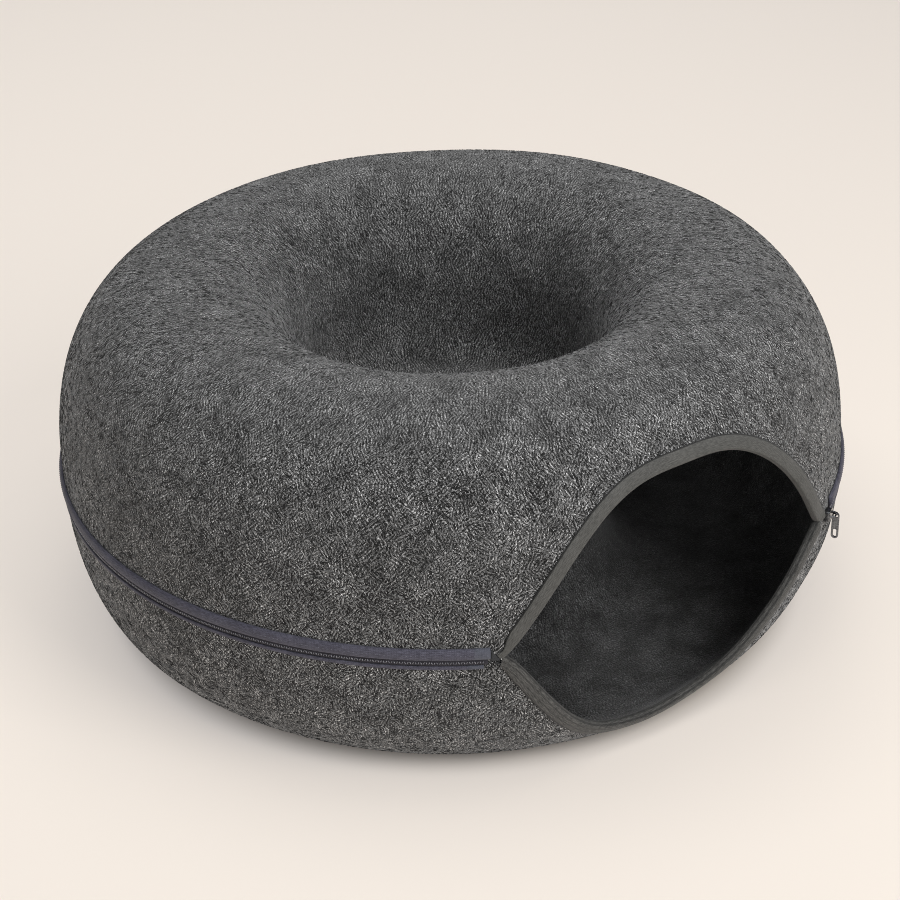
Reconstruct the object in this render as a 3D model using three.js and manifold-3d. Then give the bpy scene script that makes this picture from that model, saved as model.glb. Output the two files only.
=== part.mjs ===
// Donut tunnel bed for a cat: two moulded felt half rings zipped together around the outside,
// with one bound entrance cut through both. Millimetres, +Z up, the entrance faces -Y.

import * as THREE from 'three';
import { mergeVertices } from 'three/addons/utils/BufferGeometryUtils.js';
import Module from 'manifold-3d';

const wasm = await Module();
wasm.setup();

// Felt ring
const FELT = 5;
const RING_R = 300;
const WIDEST_Z = 116.7;
const SEAM_Z = 114;
const SEAM_GAP = 0.6;
const CREST_R = 192;
const CREST_Z = 263.5;
const SHOULDER_POWER = 2.55;
const BASE_R = 233;
const BELLY_POWER = 2.27;

// Sleeping well in the upper half ring
const THROAT_R = 117;
const THROAT_Z = 185;
const LIP_POWER = 2.16;
const WELL_FLOOR_Z = 128;
const WELL_FLAT_R = 88;
const WELL_POWER = 3;

// Hump in the lower half ring, under the well
const HUMP_GAP = 0.3;
const HUMP_FOOT_R = 165;
const HUMP_R = 112;
const HUMP_WAIST_Z = 60;
const HUMP_FOOT_POWER = 2;
const HUMP_FLAT_R = 88;

// Entrance: the felt's cut edge, as an arch above the seam and one below it
const ENTRANCE_HALF = 152.7;
// lean is how far the arch's furthest place lies left of its middle, as a share of the half width
const UPPER_ARCH = { side: 1, rise: 113.7, lean: 0, edgePower: 2.86, flarePower: 1.49, bindFrom: 2.5 };
const LOWER_ARCH = { side: -1, rise: 96.3, lean: 0.15, edgePower: 2.87, flarePower: 2.05, bindFrom: 4.5 };
const CUT_REACH = 3;
const CUT_PAST_SEAM = 4;

// Binding tape folded over the cut edge
const TAPE = 1;
const BINDING_GAP = 0.3;
const BINDING_FACE_LIFT = 0.4;
const BINDING_BACK_LIFT = 1.6;
const BINDING_FACE_W = 9.7;
const BINDING_BACK_W = 8;

// Zip along the seam, and the patch that closes its left end
const ZIP_LIFT = 0.4;
const ZIP_LEFT_X = -157.3;
const ZIP_RIGHT_X = 171.1;
// Sections as distances up from the seam and out from the felt
const UPPER_TAPE_SECTION = [
  [1.9, ZIP_LIFT], [1.9, 2.2], [3.4, 3.2], [8.4, 3.2], [10.4, 2], [11, ZIP_LIFT],
];
const LOWER_TAPE_SECTION = [[-5.8, ZIP_LIFT], [-5.4, 1.5], [-1.9, 1.9], [-1.9, ZIP_LIFT]];
const COIL_SECTION = [
  [-1.6, ZIP_LIFT], [-1.6, 1.9], [-0.7, 2.7], [0.7, 2.7], [1.6, 1.9], [1.6, ZIP_LIFT],
];
// Corners as distances around the ring and up from the seam
const PATCH_CORNERS = [[-156.8, 0.4], [-150.6, 0.4], [-156.1, 8.4], [-156.8, 9.4]];
const PATCH_T = 1.2;

// Slider and pull at the zip's right end
const SLIDER_X = 164.5;
const SLIDER_LIFT = 0.6;
const SLIDER_L = 12;
const SLIDER_H = 9;
const SLIDER_T = 4;
const SLIDER_BEVEL = 0.5;
const SLIDER_CORNER = 1;
const SLIDER_NOSE_FROM = 1.4;
const SLIDER_NOSE_H = 4;
const BRIDGE_W = 1.8;
const BRIDGE_T = 1.2;
const BRIDGE_OUT = 8.8;
const BRIDGE_FOOT = 4.6;
const BRIDGE_TOP = 3.6;
const PULL_W = 5.5;
const PULL_L = 22;
const PULL_T = 1.5;
const PULL_EYE_R = 1.6;
const PULL_SLOT_R = 1.3;
const PULL_SLOT_L = 4;
const PULL_CLEARANCE = 0.3;

// Facets
const RING_STEPS = 48;
const ARC_STEPS = 7;
const SMOOTH_STEPS = 64;
const ROUND_STEPS = 8;
const ARCH_STEPS = 40;
const CUT_LEVELS = 8;
const MERGE_WITHIN = 1e-4;
const SLOPE_STEP = 0.05;

const BED_FELT = { color: 0x5e5e5d, roughness: 0.96, metalness: 0 };
const BINDING = { color: 0x5d5d5a, roughness: 0.85, metalness: 0 };
const ZIP_TAPE = { color: 0x4a4a58, roughness: 0.75, metalness: 0 };
const ZIP_COIL = { color: 0x56565f, roughness: 0.5, metalness: 0 };
const GUNMETAL = { color: 0x3c3e42, roughness: 0.3, metalness: 0.9 };
const PATCH_CLOTH = { color: 0x2b2c30, roughness: 0.85, metalness: 0 };

// Points of a quarter superellipse about (r, z), from the end of its r half axis to the end
// of its z half axis. A negative half axis points the other way.
function quarter(r, z, halfR, halfZ, power, steps) {
  return Array.from({ length: steps + 1 }, (_, i) => {
    const angle = (i / steps) * (Math.PI / 2);
    return new THREE.Vector2(
      r + halfR * Math.cos(angle) ** (2 / power),
      z + halfZ * Math.sin(angle) ** (2 / power),
    );
  });
}

// Outside of the upper half ring, from the seam over the crest and down into the well
function upperOutline(steps) {
  const lip = quarter(CREST_R, THROAT_Z, THROAT_R - CREST_R, CREST_Z - THROAT_Z, LIP_POWER, steps);
  return [
    new THREE.Vector2(RING_R, SEAM_Z + SEAM_GAP / 2),
    ...quarter(CREST_R, WIDEST_Z, RING_R - CREST_R, CREST_Z - WIDEST_Z, SHOULDER_POWER, steps),
    ...lip.reverse().slice(1),
    ...quarter(WELL_FLAT_R, THROAT_Z, THROAT_R - WELL_FLAT_R, WELL_FLOOR_Z - THROAT_Z, WELL_POWER, steps)
      .slice(1),
    new THREE.Vector2(0, WELL_FLOOR_Z),
  ];
}

// Outside of the lower half ring, from the seam down to the base and up under the hump
function lowerOutline(steps) {
  const ceilingZ = WELL_FLOOR_Z - FELT - HUMP_GAP - FELT;
  const footHalf = HUMP_R - HUMP_FOOT_R;
  const foot = quarter(HUMP_FOOT_R, HUMP_WAIST_Z, footHalf, -HUMP_WAIST_Z, HUMP_FOOT_POWER, steps);
  return [
    new THREE.Vector2(RING_R, SEAM_Z - SEAM_GAP / 2),
    ...quarter(BASE_R, WIDEST_Z, RING_R - BASE_R, -WIDEST_Z, BELLY_POWER, steps).slice(1),
    ...foot.reverse(),
    ...quarter(HUMP_FLAT_R, HUMP_WAIST_Z, HUMP_R - HUMP_FLAT_R, ceilingZ - HUMP_WAIST_Z, WELL_POWER, steps)
      .slice(1),
    new THREE.Vector2(0, ceilingZ),
  ];
}

// Unit normals along an outline, pointing away from the felt's inner side. turn is 1 where the
// outside lies to the right of the outline's direction and -1 where it lies to the left.
function outlineNormals(outline, turn) {
  return outline.map((_, i) => {
    const before = outline[Math.max(i - 1, 0)];
    const after = outline[Math.min(i + 1, outline.length - 1)];
    const along = after.clone().sub(before).normalize();
    return new THREE.Vector2(along.y * turn, -along.x * turn);
  });
}

// A smooth outline with its length, so that a place on the felt can be found by its distance
// from the seam
function measured(outline, turn) {
  const lengths = [0];
  for (let i = 1; i < outline.length; i++) {
    lengths.push(lengths[i - 1] + outline[i].distanceTo(outline[i - 1]));
  }
  return { outline, lengths, normals: outlineNormals(outline, turn) };
}

const UPPER_SIDE = measured(upperOutline(SMOOTH_STEPS), 1);
const LOWER_SIDE = measured(lowerOutline(SMOOTH_STEPS), -1);

// A place on the felt: x is the distance around the ring from the middle of the entrance, at
// the ring's outer radius, s the distance up the felt from the seam, and lift the height above it
function onFelt(x, s, lift) {
  const { outline, lengths, normals } = s >= 0 ? UPPER_SIDE : LOWER_SIDE;
  const distance = Math.abs(s);
  const i = Math.max(lengths.findIndex((length) => length >= distance), 1);
  const part = (distance - lengths[i - 1]) / (lengths[i] - lengths[i - 1]);
  const point = outline[i - 1].clone().lerp(outline[i], part);
  const normal = normals[i - 1].clone().lerp(normals[i], part).normalize();
  const radius = point.x + normal.x * lift;
  const azimuth = x / RING_R;
  return new THREE.Vector3(
    radius * Math.sin(azimuth),
    -radius * Math.cos(azimuth),
    point.y + normal.y * lift,
  );
}

// A closed geometry from its corner points and triangles, turned to face outwards
function closedGeometry(points, triangles) {
  const volume = triangles.reduce((sum, [a, b, c]) => (
    sum + points[a].dot(points[b].clone().cross(points[c]))
  ), 0);
  const faces = volume > 0 ? triangles : triangles.map(([a, b, c]) => [a, c, b]);
  const geometry = new THREE.BufferGeometry().setFromPoints(points);
  geometry.setIndex(faces.flat());
  return geometry;
}

// A solid through rings of equally many points, its ends closed by the flat section's triangles
function loft(rings, section) {
  const count = section.length;
  const last = (rings.length - 1) * count;
  const triangles = [];
  for (let start = 0; start < last; start += count) {
    for (let j = 0; j < count; j++) {
      const k = (j + 1) % count;
      triangles.push([start + j, start + k, start + count + k]);
      triangles.push([start + j, start + count + k, start + count + j]);
    }
  }
  const flat = section.map(([a, b]) => new THREE.Vector2(a, b));
  const facing = THREE.ShapeUtils.isClockWise(flat) ? -1 : 1;
  for (const [a, b, c] of THREE.ShapeUtils.triangulateShape(flat, [])) {
    const [p, q] = facing > 0 ? [b, c] : [c, b];
    triangles.push([a, q, p], [last + a, last + p, last + q]);
  }
  return closedGeometry(rings.flat(), triangles);
}

function toSolid(source) {
  const bare = source.clone();
  bare.deleteAttribute('normal');
  bare.deleteAttribute('uv');
  const merged = mergeVertices(bare, MERGE_WITHIN);
  const corners = Array.from(merged.index.array);
  const triVerts = [];
  for (let i = 0; i < corners.length; i += 3) {
    const [a, b, c] = corners.slice(i, i + 3);
    if (a !== b && b !== c && c !== a) triVerts.push(a, b, c);
  }
  return new wasm.Manifold(new wasm.Mesh({
    numProp: 3,
    vertProperties: new Float32Array(merged.getAttribute('position').array),
    triVerts: new Uint32Array(triVerts),
  }));
}

function fromSolid(solid) {
  const { vertProperties, triVerts } = solid.getMesh();
  const geometry = new THREE.BufferGeometry();
  geometry.setAttribute('position', new THREE.BufferAttribute(new Float32Array(vertProperties), 3));
  geometry.setIndex(Array.from(triVerts));
  return geometry;
}

// Height of an entrance arch above or below the seam
function archHeight(arch, x) {
  const across = THREE.MathUtils.clamp(x / ENTRANCE_HALF, -1, 1);
  const leaned = Math.abs(across + arch.lean * (1 - across * across));
  return arch.rise * (1 - leaned ** arch.edgePower) ** arch.flarePower;
}

// Places across the entrance, closer together towards its corners
function archPlaces(half) {
  return Array.from({ length: ARCH_STEPS + 1 }, (_, i) => (
    half * Math.sin((i / ARCH_STEPS - 0.5) * Math.PI)
  ));
}

// The block that an entrance arch takes out of the felt
function archCut(arch) {
  const levels = Array.from({ length: CUT_LEVELS + 1 }, (_, i) => i / CUT_LEVELS);
  const section = [
    ...levels.map((level) => [level, CUT_REACH]),
    ...levels.toReversed().map((level) => [level, -FELT - CUT_REACH]),
  ];
  const rings = archPlaces(ENTRANCE_HALF).map((x) => section.map(([level, lift]) => {
    const s = level * (archHeight(arch, x) + CUT_PAST_SEAM) - CUT_PAST_SEAM;
    return onFelt(x, arch.side * s, lift);
  }));
  return toSolid(loft(rings, section));
}

// A felt half ring, with its part of the entrance cut out
function halfRing(outline, turn, arch) {
  const normals = outlineNormals(outline, turn);
  normals[0].set(1, 0);
  normals.at(-1).set(0, turn);
  const inside = outline.map((point, i) => point.clone().addScaledVector(normals[i], -FELT));
  const profile = [...inside.reverse(), ...outline];
  profile[0].x = 0;
  if (turn < 0) profile.reverse();
  const ring = new THREE.LatheGeometry(profile, RING_STEPS).rotateX(Math.PI / 2);
  return fromSolid(toSolid(ring).subtract(archCut(arch)));
}

// Tape folded over an arch's cut edge: a face on the outside, a bridge and a narrower back
function binding(arch) {
  const outer = -BINDING_GAP - TAPE;
  const back = -FELT - BINDING_BACK_LIFT;
  const section = [
    [BINDING_FACE_W, BINDING_FACE_LIFT],
    [BINDING_FACE_W, BINDING_FACE_LIFT + TAPE],
    [outer, BINDING_FACE_LIFT + TAPE],
    [outer, back - TAPE],
    [BINDING_BACK_W, back - TAPE],
    [BINDING_BACK_W, back],
    [-BINDING_GAP, back],
    [-BINDING_GAP, BINDING_FACE_LIFT],
  ];
  const rings = archPlaces(ENTRANCE_HALF - arch.bindFrom).map((x) => {
    const height = archHeight(arch, x);
    const climb = archHeight(arch, x + SLOPE_STEP) - archHeight(arch, x - SLOPE_STEP);
    const slope = climb / (2 * SLOPE_STEP);
    const away = new THREE.Vector2(-slope, 1).normalize();
    return section.map(([out, lift]) => (
      onFelt(x + out * away.x, arch.side * (height + out * away.y), lift)
    ));
  });
  return loft(rings, section);
}

// A strip around the back of the ring from the entrance's right corner to its left one, with
// a step at each facet of the felt
function zipStrip(section) {
  const facet = (2 * Math.PI * RING_R) / RING_STEPS;
  const end = 2 * Math.PI * RING_R + ZIP_LEFT_X;
  const places = [ZIP_RIGHT_X];
  for (let i = Math.ceil(ZIP_RIGHT_X / facet); i * facet < end; i++) places.push(i * facet);
  places.push(end);
  return loft(places.map((x) => section.map(([s, lift]) => onFelt(x, s, lift))), section);
}

function endPatch() {
  const faces = [ZIP_LIFT, ZIP_LIFT + PATCH_T];
  return loft(faces.map((lift) => PATCH_CORNERS.map(([x, s]) => onFelt(x, s, lift))), PATCH_CORNERS);
}

// Slider body with a bridge over it. Here and in the pull, x runs along the zip and -y outwards.
function slider() {
  const end = SLIDER_L / 2 - SLIDER_BEVEL;
  const side = SLIDER_H / 2 - SLIDER_BEVEL;
  const nose = SLIDER_NOSE_H / 2;
  const outline = new THREE.Shape([
    [-end, SLIDER_CORNER - side], [SLIDER_CORNER - end, -side], [SLIDER_NOSE_FROM, -side], [end, -nose],
    [end, nose], [SLIDER_NOSE_FROM, side], [SLIDER_CORNER - end, side], [-end, side - SLIDER_CORNER],
  ].map(([x, y]) => new THREE.Vector2(x, y)));
  const body = new THREE.ExtrudeGeometry(outline, {
    depth: SLIDER_T - 2 * SLIDER_BEVEL,
    bevelThickness: SLIDER_BEVEL,
    bevelSize: SLIDER_BEVEL,
    bevelSegments: 1,
  }).rotateX(Math.PI / 2).translate(0, -SLIDER_LIFT - SLIDER_BEVEL, 0);

  const foot = -SLIDER_LIFT - SLIDER_T + SLIDER_BEVEL;
  const arch = new THREE.Shape([
    [-BRIDGE_FOOT, foot], [-BRIDGE_TOP, -BRIDGE_OUT], [BRIDGE_TOP, -BRIDGE_OUT], [BRIDGE_FOOT, foot],
    [BRIDGE_FOOT - BRIDGE_T, foot], [BRIDGE_TOP - BRIDGE_T, -BRIDGE_OUT + BRIDGE_T],
    [BRIDGE_T - BRIDGE_TOP, -BRIDGE_OUT + BRIDGE_T], [BRIDGE_T - BRIDGE_FOOT, foot],
  ].map(([x, y]) => new THREE.Vector2(x, y)));
  const bridge = new THREE.ExtrudeGeometry(arch, { depth: BRIDGE_W, bevelEnabled: false })
    .translate(0, 0, -BRIDGE_W / 2);
  return fromSolid(toSolid(body).add(toSolid(bridge)));
}

// Pull hanging on the bridge by its eye, edge on to the zip, with a slot in its lower end
function pull() {
  const half = PULL_W / 2;
  const plate = new THREE.Shape();
  plate.absarc(0, 0, half, 0, Math.PI);
  const low = PULL_W - PULL_L;
  plate.lineTo(-half, low);
  plate.absarc(0, low, half, Math.PI, 2 * Math.PI);
  const eye = new THREE.Path().absarc(0, 0, PULL_EYE_R, 0, 2 * Math.PI, true);
  const slot = new THREE.Path().absarc(0, low, PULL_SLOT_R, 0, -Math.PI, true);
  slot.absarc(0, low + PULL_SLOT_L, PULL_SLOT_R, Math.PI, 0, true);
  plate.holes.push(eye, slot);
  const turned = new THREE.Matrix4().makeBasis(
    new THREE.Vector3(0, -1, 0),
    new THREE.Vector3(0, 0, 1),
    new THREE.Vector3(-1, 0, 0),
  );
  const rodOut = BRIDGE_OUT - BRIDGE_T / 2;
  const hang = PULL_EYE_R - BRIDGE_W / 2 - PULL_CLEARANCE;
  const solid = { depth: PULL_T, bevelEnabled: false, curveSegments: ROUND_STEPS };
  const geometry = new THREE.ExtrudeGeometry(plate, solid)
    .translate(0, 0, -PULL_T / 2)
    .applyMatrix4(turned)
    .translate(0, -rodOut, -hang);
  return fromSolid(toSolid(geometry));
}

function piece(name, geometry, finish) {
  const mesh = new THREE.Mesh(geometry, new THREE.MeshStandardMaterial(finish));
  mesh.name = name;
  return mesh;
}

const bed = new THREE.Group();
bed.add(
  piece('upper_shell', halfRing(upperOutline(ARC_STEPS), 1, UPPER_ARCH), BED_FELT),
  piece('lower_shell', halfRing(lowerOutline(ARC_STEPS), -1, LOWER_ARCH), BED_FELT),
  piece('upper_binding', binding(UPPER_ARCH), BINDING),
  piece('lower_binding', binding(LOWER_ARCH), BINDING),
  piece('upper_zip_tape', zipStrip(UPPER_TAPE_SECTION), ZIP_TAPE),
  piece('lower_zip_tape', zipStrip(LOWER_TAPE_SECTION), ZIP_TAPE),
  piece('zip_coil', zipStrip(COIL_SECTION), ZIP_COIL),
  piece('zip_end_patch', endPatch(), PATCH_CLOTH),
);

const sliderPlace = new THREE.Group();
const sliderAzimuth = SLIDER_X / RING_R;
sliderPlace.position.set(RING_R * Math.sin(sliderAzimuth), -RING_R * Math.cos(sliderAzimuth), SEAM_Z);
sliderPlace.rotation.z = sliderAzimuth;
sliderPlace.add(piece('zip_slider', slider(), GUNMETAL), piece('zip_pull', pull(), GUNMETAL));
bed.add(sliderPlace);

// The origin is below the middle of the bed's box, which the entrance sets back on its own side
bed.position.y = -new THREE.Box3().setFromObject(bed).getCenter(new THREE.Vector3()).y;

export default bed;
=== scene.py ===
import math

import bmesh
import bpy
import numpy as np
from mathutils import Matrix, Quaternion, Vector


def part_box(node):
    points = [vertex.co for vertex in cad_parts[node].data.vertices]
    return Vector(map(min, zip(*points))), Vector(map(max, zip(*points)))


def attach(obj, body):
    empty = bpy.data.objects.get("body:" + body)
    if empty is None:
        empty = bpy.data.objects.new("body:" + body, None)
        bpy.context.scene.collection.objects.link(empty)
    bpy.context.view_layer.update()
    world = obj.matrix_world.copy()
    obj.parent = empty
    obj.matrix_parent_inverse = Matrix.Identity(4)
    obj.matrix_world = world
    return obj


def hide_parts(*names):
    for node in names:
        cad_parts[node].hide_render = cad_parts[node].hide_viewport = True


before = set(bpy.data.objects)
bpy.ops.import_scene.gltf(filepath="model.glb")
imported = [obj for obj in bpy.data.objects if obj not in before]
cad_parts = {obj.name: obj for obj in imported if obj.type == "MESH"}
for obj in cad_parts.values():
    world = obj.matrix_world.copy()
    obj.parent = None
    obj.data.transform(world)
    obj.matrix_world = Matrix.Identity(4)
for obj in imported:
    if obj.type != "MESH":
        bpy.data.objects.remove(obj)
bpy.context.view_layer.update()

# Felt ring, in metres
FELT = 0.005
RING_R = 0.300
WIDEST_Z = 0.1167
SEAM_Z = 0.114
SEAM_GAP = 0.0006
CREST_R = 0.192
CREST_Z = 0.2635
SHOULDER_POWER = 2.55
BASE_R = 0.233
BELLY_POWER = 2.27
AXIS = Vector((0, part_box("upper_shell")[1].y - RING_R, 0))
UP = Vector((0, 0, 1))

# Sleeping well in the upper half ring, and the hump below it in the lower one
THROAT_R = 0.117
THROAT_Z = 0.185
LIP_POWER = 2.16
WELL_FLOOR_Z = 0.128
WELL_FLAT_R = 0.088
WELL_POWER = 3
HUMP_GAP = 0.0003
HUMP_FOOT_R = 0.165
HUMP_R = 0.112
HUMP_WAIST_Z = 0.060
HUMP_FOOT_POWER = 2
HUMP_FLAT_R = 0.088

# Entrance: the felt's cut edge, as an arch above the seam and one below it
ENTRANCE_HALF = 0.1527
UPPER_ARCH = {"side": 1, "rise": 0.1137, "lean": 0, "edge": 2.86, "flare": 1.49, "reach": 0.195}
LOWER_ARCH = {"side": -1, "rise": 0.0963, "lean": 0.15, "edge": 2.87, "flare": 2.05, "reach": 0.150}
SLOPE_STEP = 0.00005

# How far the cut lower rim gives way inwards, right of the entrance's middle
SETTLE = 0.0042
SETTLE_LEFT = (-0.035, 0.045)
SETTLE_RIGHT = (0.240, 0.160)
SETTLE_TOP = (0.0, -0.065)
SETTLE_FOOT = (-0.135, -0.105)

# Mesh of the felt, and how uneven its moulding is
ARC_STEPS = 96
ROW = 0.008
ENTRANCE_COLUMNS = 118
REST_COLUMNS = 160
MERGE_WITHIN = 2e-5
PINCHED = 0.7
PINCH_FROM = 0.008
PINCH_FADE = 0.012
DENT = 0.0009
DENT_FADE = 0.03
DENT_POLE_R = 0.06
DENT_WAVES = ((3, 14, 0.4), (-5, 21, 2.1), (8, 33, 4.0))

# The felt's strands cross on the outer wall, and are combed towards the well between these radii
COMBED_FROM_R = 0.298
COMBED_FULL_R = 0.235

# Loose fibres on the felt's outside
FIBRES_A_PIECE = 26000
FIBRE_TRIES = 1.6
FIBRE_TABLE_STEPS = 2000
UPPER_FIBRES_FROM = 0.0115
UPPER_FIBRE_SEEDS = (11, 12, 13)
LOWER_FIBRES_FROM = 0.0065
LOWER_FIBRES_TO = 0.135
LOWER_FIBRE_SEED = 21
FIBRE_FREE_R = 0.01
FIBRE_SHORT = 0.0035
FIBRE_LONG = 0.0085
FIBRE_THIN = 0.00028
FIBRE_THICK = 0.00050
FIBRE_LIFT = 0.00035
FIBRE_SINK = 0.0001
FIBRE_BEND = 0.00015
FIBRE_LEAN = 0.6
FIBRE_SPREAD = 0.60
COMBED_LEAN_SHARE = 0.2
COMBED_SPREAD_SHARE = 0.5
WELL_FIBRES_FROM_R = 0.16
WELL_FIBRES_FULL_R = 0.12
WELL_FACING_FROM = 0.3
WELL_FACING_FULL = 0.7
WELL_FIBRE_WIDTH = 0.5

# Waves that turn the fibres: turns round the ring, radians a metre up the wall, start and size
FIBRE_SWIRLS = ((9, 55, 0.7, 0.9), (-23, 130, 3.2, 0.9), (57, -250, 1.9, 0.8))

# Waves that gather fibres of one tone, and the tones themselves: name, grey level and share
FIBRE_CLOUDS = ((6, 48, 1.4), (-13, 75, 0.2), (22, -110, 2.7))
FIBRE_CLOUD_SHARE = 0.07
FIBRE_TONES = (
    ("light", 0.220, 0.32),
    ("mid", 0.100, 0.30),
    ("dark", 0.012, 0.35),
    ("white", 0.290, 0.03),
)

# A fibre's faces, between its two tips and the two sides of its raised middle
SLIVER_FACES = ((0, 2, 3), (1, 3, 2), (0, 1, 2), (1, 0, 3))

# Binding tape folded over the cut edge
TAPE_T = 0.0009
FACE_LIFT = 0.0009
FACE_W = 0.0097
FACE_CROWN = 0.0005
FACE_EDGE_LIFT = 0.00055
BRIDGE_OUT = -0.0008
BACK_LIFT = -0.0047
BACK_W = 0.008
FOLD_R = 0.002
FACE_STEPS = 6
FOLD_STEPS = 4
BACK_STEPS = 3
TUCK_WITHIN = 0.25
BINDING_PLACES = 150
UPPER_BIND_FROM = 0.0025
LOWER_BIND_FROM = 0.0035
END_TAPER = 0.0150
UPPER_END_WIDTH = -0.5
LOWER_END_WIDTH = 0.3
LOWER_END_RISE = (0.0020, 0.0010)
LOWER_RISE_OVER = 0.030
TONGUE_FROM = 0.1470
TONGUE_L = 0.0060
TONGUE_ROUND = 0.0060
TONGUE_PLACES = 16
TONGUE_TIP = 0.99
TONGUE_RISE = 0.0012

# Zip along the seam
ZIP_RIGHT_X = 0.1711
ZIP_STEPS = 420
ZIP_LIFT = 0.0004
UPPER_TAPE = {"low": 0.0019, "high": 0.0110, "lift": 0.0032, "power": 2.3, "left": -0.1573}
LOWER_TAPE = {"low": -0.0052, "high": -0.0021, "lift": 0.0018, "power": 3.2, "left": -0.1619}
COIL_BED = {"low": -0.0018, "high": 0.0018, "lift": 0.0011, "power": 3.0, "left": -0.1589}
TAPE_POINTS = 12
TOOTH_PITCH = 0.0018
TOOTH = (0.0006, 0.0018, 0.0009)
TOOTH_LIFT = 0.0014
TOOTH_LEAN = math.radians(28)
TOOTH_ROUND = 0.0003
CORD_STITCH = {"s": 0.0066, "lift": 0.00325, "pitch": 0.0030, "length": 0.0016, "thick": 0.0005}
BAR_TACK = (
    ((-0.1579, -0.0008, 0.0016), (-0.1509, -0.0004, 0.0016)),
    ((-0.1549, -0.0016, 0.0014), (-0.1484, -0.0012, 0.0014)),
)
BAR_TACK_THICK = 0.0008
KNOT = ((-0.1505, 0.0016, 0.0018), (-0.1496, 0.0019, 0.0018))
KNOT_THICK = 0.0011
PATCH_CORNERS = ((-0.1568, 0.0004), (-0.1506, 0.0004), (-0.1561, 0.0084), (-0.1568, 0.0094))
PATCH_T = 0.0012

# Slider and pull at the zip's right end
SLIDER_X = 0.1645
SLIDER_LIFT = 0.0006
SLIDER_L = 0.012
SLIDER_H = 0.009
SLIDER_T = 0.004
SLIDER_CORNER = 0.001
SLIDER_NOSE_FROM = 0.0014
SLIDER_NOSE_H = 0.004
LOOP_W = 0.0018
LOOP_T = 0.0012
LOOP_OUT = 0.0088
LOOP_FOOT = 0.0046
LOOP_TOP = 0.0036
LOOP_SINK = 0.0005
METAL_ROUND = 0.0004
PULL_W = 0.0055
PULL_L = 0.022
PULL_T = 0.0015
PULL_EYE_R = 0.0016
PULL_SLOT_R = 0.0013
PULL_SLOT_L = 0.004
PULL_CLEARANCE = 0.0003
PULL_ROUND = 0.00025
ROUND_STEPS = 16

# Camera, from a fit to the bed's outline in the 900 by 900 picture
PICTURE = 900
SENSOR = 36
FOCAL_PIXELS = 2294.4
CAMERA_DISTANCE = 1.8
CAMERA_AZIMUTH = math.radians(-34.36)
CAMERA_ELEVATION = math.radians(30.345)
CAMERA_TARGET_Z = 0.1032
CAMERA_ROLL = -0.02363
CAMERA_SHIFT_PIXELS = -1.64

# Felt finish, outside and inside: ground, cover of the strands, tones of the hatch and of the clouds
FELT_FINISH = {"ground": 0.044, "strands": 1.0, "hatch": (0.36, 2.00), "clouds": (0.68, 1.56)}
# The inside's darker ground is painted shade for the tunnel's inside; its strands, hatch and clouds are felt
# texture
INSIDE_FINISH_WITH_PAINTED_SHADE = {"ground": 0.036, "strands": 0.45, "hatch": (0.7, 1.3), "clouds": (0.5, 1.5)}
DRIFT_SCALE = 90.0
DRIFT_REACH = 0.0024
CLOUD_SCALE = 42.0
CLOUD_FROM_TO = (0.3, 0.7)
# Painted shade in the well: the felt's colour is scaled down to this towards the well's floor, between these
# radii
WELL_SHADE = 0.84
WELL_SHADE_FROM_R = 0.170
WELL_SHADE_FULL_R = 0.130
NAP_SCALE = 900.0
NAP_STRENGTH = 0.8
NAP_DEPTH = 0.0006

# Crossing strands, in layers that each run one way. A tone is a noise level, a grey level and a cover
STRAND_LIGHT = 0.39
STRAND_DARK = 0.004
STRAND_TONES = (
    (0.480, STRAND_LIGHT, 0.0),
    (0.494, STRAND_LIGHT, 1.0),
    (0.506, STRAND_LIGHT, 1.0),
    (0.519, STRAND_LIGHT, 0.0),
    (0.524, STRAND_DARK, 0.0),
    (0.560, STRAND_DARK, 0.9),
    (0.700, STRAND_DARK, 0.9),
    (0.760, STRAND_DARK, 0.0),
)
STRAND_LAYERS = 8
STRAND_LENGTH = 0.0080
STRAND_WIDTH = 0.00090
STRAND_SHIFT = (0.37, 0.21, 0.53)
STRAND_STEEP = 0.75
STRAND_FLAT = 0.45
COMBED_STRANDS = 0.75

# Hatch of fine lines, in patches that lean to either side of straight up the wall
HATCH_PATCHES = 150.0
HATCH_PITCH = 0.0022
WALL_HATCH_LEAN = 2.0
COMBED_HATCH_LEAN = 0.7

# Woven tapes: the spreads are two noise levels and the tones there
TWILL_RATIO = 0.7
WEAVE_SHARE = 0.3
WEAVE_STRENGTH = 0.5
WEAVE_DEPTH = 0.0003
SLUB_STRETCH = (260.0, 1400.0, 1.0)
SLUB_SPREAD = (0.3, 0.75, -0.1, 0.75)
PATCHY_SCALE = 60.0
PATCHY_SPREAD = (0.3, 0.7, -0.12, 0.12)
SEALED_EDGE = 0.8
SEALED_SHARE = 0.4
# Painted shade along the tapes' edges and folds: its grey, and the part of its reach that is fully dark
PAINTED_SHADE_GREY = 0.012
PAINTED_SHADE_CORE = 0.6

# Grain of the thread, teeth, patch and metal
GRAIN_TONES_AT = (0.35, 0.65)
GRAIN_GLOSS_AT = (0.3, 0.7)
GRAIN_GLOSS = 0.2
GRAIN_STRENGTH = 0.3
GRAIN_DEPTH = 0.0001

# Lights: name, metres to the picture's right, towards the camera and up, size and watts
LAMPS = (
    ("ceiling", 0.0, 0.0, 2.5, 2.5, 46),
    ("back", 0.0, -1.8, 1.6, 1.2, 6),
    ("back_left", -1.3, -1.3, 1.6, 1.2, 7),
    ("front_right", 1.3, 1.3, 1.6, 1.2, 29),
    ("low_front", 0.0, 2.2, 0.7, 1.2, 10),
    ("low_left", -1.4, 1.8, 0.6, 1.0, 2.5),
    ("low_right", 1.4, 1.8, 0.6, 1.0, 4.5),
)
LAMP_AIM_Z = 0.12
ROOM_LIGHT = 0.01
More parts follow.
